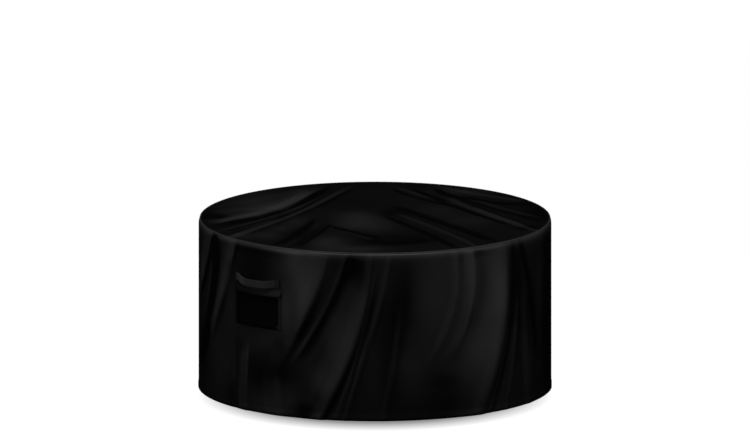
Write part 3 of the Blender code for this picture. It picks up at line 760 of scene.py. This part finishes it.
bpy.ops.object.select_all(action="DESELECT")
bpy.ops.mesh.primitive_torus_add(
    major_segments=576,
    minor_segments=14,
    major_radius=(piping_high[0] - piping_low[0]) / 2 - PIPING,
    minor_radius=PIPING,
    location=(0, 0, (piping_low[2] + piping_high[2]) / 2),
)
piping = bpy.context.object
piping.name = "rim_piping_cloth"
bpy.ops.object.transform_apply(location=True, rotation=True, scale=True)
piping.data.shade_smooth()
painted_layer = piping.data.attributes.new("light_and_shade", "FLOAT", "POINT")
painted_layer.data.foreach_set("value", np.full(len(piping.data.vertices), RIM_HIGHLIGHT))
piping.data.materials.append(coated_cloth)
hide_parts("rim_piping")
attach(piping, "root")

# --------------------------------------------------------------------------------- the net
# Plain black net with small square meshes. It is sewn behind the opening in the skirt, and is
# stretched flat across it.
VENT_WIDTH = math.radians(VENT_RIGHT - VENT_LEFT) * RADIUS
VENT_HEIGHT = VENT_BOTTOM - VENT_TOP
NET_PITCH = 0.0026
STRAND = 0.00035  # its radius
STRAND_SPOTS_DOWN, STRAND_SPOTS_ACROSS = 5, 25
NET_BEHIND = 0.0030  # behind the skirt's outer face
NET_EDGE_ANGLE, NET_EDGE = 0.05, 0.001
NET_BLACK = (0.0015, 0.0015, 0.0015)


def thread_mesh(name, lines, radius):
    """Many short round threads as one mesh, each along its line of points."""
    bpy.ops.object.select_all(action="DESELECT")
    curve = bpy.data.curves.new(name, "CURVE")
    curve.dimensions = "3D"
    curve.bevel_depth = radius
    curve.bevel_resolution = 0
    curve.use_fill_caps = True
    for line in lines:
        spline = curve.splines.new("POLY")
        spline.points.add(len(line) - 1)
        spline.points.foreach_set("co", np.c_[line, np.ones(len(line))].ravel())
    piece = bpy.data.objects.new(name, curve)
    bpy.context.collection.objects.link(piece)
    piece.select_set(True)
    bpy.context.view_layer.objects.active = piece
    bpy.ops.object.convert(target="MESH")
    piece = bpy.context.object
    piece.data.shade_smooth()
    return piece


down = np.linspace(VENT_TOP, VENT_BOTTOM, STRAND_SPOTS_DOWN)
across = np.linspace(VENT_LEFT, VENT_RIGHT, STRAND_SPOTS_ACROSS)
left, right = VENT_LEFT + NET_EDGE_ANGLE, VENT_RIGHT - NET_EDGE_ANGLE
high, low = VENT_TOP + NET_EDGE, VENT_BOTTOM - NET_EDGE
strands = [
    on_skirt(angle, down, -NET_BEHIND)
    for angle in np.linspace(left, right, round(VENT_WIDTH / NET_PITCH))
]
strands += [
    on_skirt(across, drop, -NET_BEHIND)
    for drop in np.linspace(high, low, round(VENT_HEIGHT / NET_PITCH))
]
net = thread_mesh("vent_net_strands", strands, STRAND)
black_net = plain_material("vent_net", NET_BLACK, roughness=0.7, gloss=0.1)
net.data.materials.append(black_net)
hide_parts("vent_net")
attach(net, "root")

# ------------------------------------------------------------------------ the vent's binding
# Ribbed black tape laid as a frame round the opening, over the skirt's cut edge. It is sewn down
# with a row of stitches along both its edges, and light is painted paler on its right side.
SEWN_GAP = 0.0003  # between pieces that are sewn together
TAPE = 0.0015  # its thickness
TAPE_FACE = SEWN_GAP + TAPE  # its outer face, off the skirt's
TAPE_CELLS = (48, 32)
TAPE_SIDE_CELLS = 4  # across the tape's width


def place_binding(u, v):
    """One sheet over the whole vent, with TAPE_SIDE_CELLS across the tape on each side."""
    side = math.degrees(BINDING / RADIUS)
    across, down = TAPE_SIDE_CELLS / TAPE_CELLS[0], TAPE_SIDE_CELLS / TAPE_CELLS[1]
    angles = [VENT_LEFT, VENT_LEFT + side, VENT_RIGHT - side, VENT_RIGHT]
    drops = [VENT_TOP, VENT_TOP + BINDING, VENT_BOTTOM - BINDING, VENT_BOTTOM]
    angle = np.interp(u, [0, across, 1 - across, 1], angles)
    drop = np.interp(v, [0, down, 1 - down, 1], drops)
    # Dark, with a faint painted highlight down its left side and more painted light on its right
    # one.
    pale = 0.5 * np.exp(-(((u - 0.03) / 0.02) ** 2)) + 1.7 * soft_step(0.84, 0.96, u) - 1.0
    return on_skirt(angle, drop, TAPE_FACE), np.stack([np.radians(angle) * RADIUS, -drop], -1), pale


def inside_frame(face):
    """Whether a cell lies inside the frame of tape. The cells are numbered row by row."""
    row, column = divmod(face.index, TAPE_CELLS[0])
    across = TAPE_SIDE_CELLS <= column < TAPE_CELLS[0] - TAPE_SIDE_CELLS
    return across and TAPE_SIDE_CELLS <= row < TAPE_CELLS[1] - TAPE_SIDE_CELLS


binding = lay_cloth("vent_binding_tape", TAPE_CELLS, place_binding)
cut_out(binding, inside_frame)
thicken(binding, TAPE)
binding_tape = cloth_material(
    "binding_tape",
    colour=(0.0006, 0.0006, 0.0006),
    lit_colour=(0.0200, 0.0200, 0.0206),
    roughness=0.60,
    thread=0.0011,
    weave_depth=0.0002,
    crinkle_depth=0.0002,
)
binding.data.materials.append(binding_tape)
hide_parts("vent_binding")
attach(binding, "root")

# ---------------------------------------------------------------------------- the rain flap
# A short strip of the coated cloth over the net's top. It is sewn along its upper edge and at
# its ends, and its free edge arches off the net.
FLAP_TOP, FLAP_BOTTOM = 0.222, 0.258
FLAP_SEAM = 0.007
FLAP_FACE = SEWN_GAP + CLOTH  # its outer face at the seam, off the skirt's
FLAP_OUT, FLAP_END_OUT = 0.022, 0.004  # its free edge at the middle and at the ends
FLAP_CELLS = (64, 14)


def on_flap(angle, drop):
    """Points on the flap's outer face: flat along the seam, and arched off at the free edge."""
    along = (angle - VENT_LEFT) / (VENT_RIGHT - VENT_LEFT)
    arch = np.sqrt(np.clip(np.sin(math.pi * along), 0, 1))
    edge_out = FLAP_END_OUT + (FLAP_OUT - FLAP_END_OUT) * arch
    share = np.clip((drop - FLAP_TOP - FLAP_SEAM) / (FLAP_BOTTOM - FLAP_TOP - FLAP_SEAM), 0, 1)
    return on_skirt(angle, drop, FLAP_FACE + edge_out * share)


def place_flap(u, v):
    """The strip along the vent's top, painted lighter to the right and painted shade to its free
    edge.
    """
    angle = VENT_LEFT + (VENT_RIGHT - VENT_LEFT) * u
    drop = FLAP_TOP + (FLAP_BOTTOM - FLAP_TOP) * v
    pale = 0.5 * soft_step(0, 0.8, u) - 0.45 - 0.6 * soft_step(0.6, 1, v)
    return on_flap(angle, drop), np.stack([np.radians(angle) * RADIUS, -drop], -1), pale


flap = lay_cloth("rain_flap", FLAP_CELLS, place_flap)
thicken(flap, CLOTH)
flap.data.materials.append(coated_cloth)
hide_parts("vent_flap")
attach(flap, "root")

# ------------------------------------------------------------------------ the carrying strap
# Grey-black webbing above the vent, sewn down at both ends. Its slack middle stands off the
# skirt as a handle and sags.
STRAP_LENGTH, STRAP_WIDTH = 0.33, 0.040
STRAP = 0.002  # its thickness
STRAP_FACE = SEWN_GAP + STRAP  # its outer face where it is sewn down, off the skirt's
STRAP_CROWN = 0.0003  # webbing is a little fuller along its middle
STRAP_CELLS = (96, 16)

# The strap's line: the drop of its middle, and how far it stands off the skirt.
Station = namedtuple("Station", "angle drop out")
STRAP_LINE = (
    Station(VENT_LEFT, 0.187, 0.0),
    Station(-50.3, 0.187, 0.0),
    Station(-49.2, 0.189, 0.009),
    Station(-47.4, 0.195, 0.020),
    Station(-45.2, 0.1985, 0.026),
    Station(-42.8, 0.1995, 0.027),
    Station(-40.0, 0.198, 0.026),
    Station(-37.4, 0.197, 0.019),
    Station(-35.8, 0.194, 0.008),
    Station(-34.6, 0.191, 0.0),
    Station(VENT_RIGHT, 0.190, 0.0),
)


def smooth_through(x, y, at):
    """A smooth curve through the points x, y, read at the places at."""
    slope = np.gradient(y, x)
    n = np.clip(np.searchsorted(x, at) - 1, 0, len(x) - 2)
    step = x[n + 1] - x[n]
    t = (at - x[n]) / step
    start = y[n] * (1 + 2 * t) * (1 - t) ** 2 + slope[n] * step * t * (1 - t) ** 2
    return start + y[n + 1] * t * t * (3 - 2 * t) + slope[n + 1] * step * t * t * (t - 1)


def on_strap(angle, across, out=0.0):
    """Points on the strap's outer face, across metres below its middle, or out from it."""
    line = np.array(STRAP_LINE)
    drop = smooth_through(line[:, 0], line[:, 1], angle)
    off = np.maximum(smooth_through(line[:, 0], line[:, 2], angle), 0)
    return on_skirt(angle, drop + across, STRAP_FACE + off + out)


def place_strap(u, v):
    """The webbing along its line: light painted where it bends off, darker at its right end and
    edges.
    """
    angle = VENT_LEFT + (VENT_RIGHT - VENT_LEFT) * u
    edge = np.abs(v - 0.5) * 2
    points = on_strap(angle, STRAP_WIDTH * (v - 0.5), STRAP_CROWN * (1 - edge**6))
    pale = 0.9 + 2.2 * soft_step(0.04, 0.14, u) * (1 - soft_step(0.20, 0.36, u))
    for bar, wide in ((0.895, 0.010), (0.965, 0.022)):
        pale = pale - 1.8 * np.exp(-(((u - bar) / wide) ** 2))
    pale = pale - 0.4 * soft_step(0.75, 0.95, u) - 0.4 * soft_step(0.75, 1.0, edge)
    return points, np.stack([np.radians(angle) * RADIUS, -STRAP_WIDTH * v], -1), pale


strap = lay_cloth("carrying_strap_webbing", STRAP_CELLS, place_strap)
thicken(strap, STRAP)
webbing = cloth_material(
    "webbing",
    colour=(0.0030, 0.0031, 0.0036),
    lit_colour=(0.0420, 0.0430, 0.0480),
    roughness=0.62,
    thread=0.0014,
    weave_depth=0.0004,
    crinkle_depth=0.0002,
)
strap.data.materials.append(webbing)
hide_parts("carrying_strap")
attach(strap, "root")

# ------------------------------------------------------------------------------ the stitches
# Rows of lockstitch along the rim, the hem, the seam at the back, the vent's tape and the flap,
# and bars of close stitches that hold the strap's ends.
STITCH_PITCH, STITCH_LENGTH = 0.0048, 0.0036
THREAD = 0.0004  # its radius
THREAD_BLACK = (0.0030, 0.0030, 0.0032)
PROUD = THREAD * 0.5  # its middle, off the cloth
RIM_ROW_DROP, RIM_ROW_IN = 0.013, 0.006  # the rows below and inside the rim
BACK_ROW_ANGLE = 0.4  # each side of the back seam
BACK_ROW_FROM, BACK_ROW_TO = 0.02, DROP - 0.006
TAPE_ROW = 0.003  # in from the tape's edges
FLAP_ROWS = (FLAP_TOP + 0.0035, FLAP_BOTTOM - 0.004)
FLAP_ROW_END = 0.2  # degrees
BAR_ANGLES = (VENT_LEFT + 0.35, VENT_LEFT + 1.75, VENT_RIGHT - 1.75, VENT_RIGHT - 0.35)
BAR_REACH, BAR_STITCHES = 0.017, 46  # each side of the strap's middle, and stitches in a bar

# One stitch of a bar: it slants a little, and its ends dip into the webbing.
BAR_STITCH_TURN = np.array([-0.11, -0.05, 0.05, 0.11])  # degrees
BAR_STITCH_SLANT = np.array([-0.0003, -0.0003, 0.0003, 0.0003])
BAR_STITCH_RISE = np.array([0.0, 0.0006, 0.0006, 0.0])


def stitch_lines(path):
    """Cuts a dense path of points on the cloth into stitches, each a little proud of it."""
    run = np.concatenate([[0], np.cumsum(np.linalg.norm(np.diff(path, axis=0), axis=1))])
    count = int(run[-1] / STITCH_PITCH)
    lines = []
    for n in range(count):
        start = (n + 0.5) * run[-1] / count - STITCH_LENGTH / 2
        at = start + STITCH_LENGTH * np.array([0, 0.25, 0.75, 1])
        lines.append(np.stack([np.interp(at, run, path[:, k]) for k in range(3)], axis=-1))
    return lines


def sew(name, rows):
    """The stitches of several rows as one mesh."""
    return thread_mesh(name, [stitch for row in rows for stitch in stitch_lines(row)], THREAD)


# The rows round the cover, along the rim on the skirt, along the hem, and along the rim on the
# top, and the two rows down the back seam.
turn = np.linspace(-180, 180, 2880)
x, y = np.sin(np.radians(turn)), -np.cos(np.radians(turn))
rim_row = TOP_RADIUS - RIM_ROW_IN
down = np.linspace(BACK_ROW_FROM, BACK_ROW_TO, 400)
rows = [
    on_skirt(turn, RIM_ROW_DROP, PROUD),
    on_skirt(turn, HEM_STITCHES, PROUD),
    np.stack([rim_row * x, rim_row * y, np.full_like(x, CLOTH + PROUD)], axis=-1),
    on_skirt(180 - BACK_ROW_ANGLE, down, PROUD),
    on_skirt(180 + BACK_ROW_ANGLE, down, PROUD),
]
seam_stitches = sew("seam_stitches", rows)

# Two rows round the tape, and one along each long edge of the rain flap.
rows = []
along = np.linspace(0, 4, 800)  # the tape's four sides
for edge in (TAPE_ROW, BINDING - TAPE_ROW):
    inset = math.degrees(edge / RADIUS)
    left, right = VENT_LEFT + inset, VENT_RIGHT - inset
    high, low = VENT_TOP + edge, VENT_BOTTOM - edge
    angles = np.interp(along, range(5), [left, left, right, right, left])
    drops = np.interp(along, range(5), [low, high, high, low, low])
    rows.append(on_skirt(angles, drops, TAPE_FACE + PROUD))
across = np.linspace(VENT_LEFT + FLAP_ROW_END, VENT_RIGHT - FLAP_ROW_END, 200)
rows += [on_flap(across, drop) for drop in FLAP_ROWS]
vent_stitches = sew("vent_stitches", rows)

# Two bars across each end of the strap.
bars = [
    on_strap(angle + BAR_STITCH_TURN, across + BAR_STITCH_SLANT, BAR_STITCH_RISE)
    for angle in BAR_ANGLES
    for across in np.linspace(-BAR_REACH, BAR_REACH, BAR_STITCHES)
]
bar_stitches = thread_mesh("strap_stitches", bars, THREAD)

thread = plain_material("thread", THREAD_BLACK, roughness=0.5, gloss=0.2)
for piece in (seam_stitches, vent_stitches, bar_stitches):
    piece.data.materials.append(thread)
    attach(piece, "root")
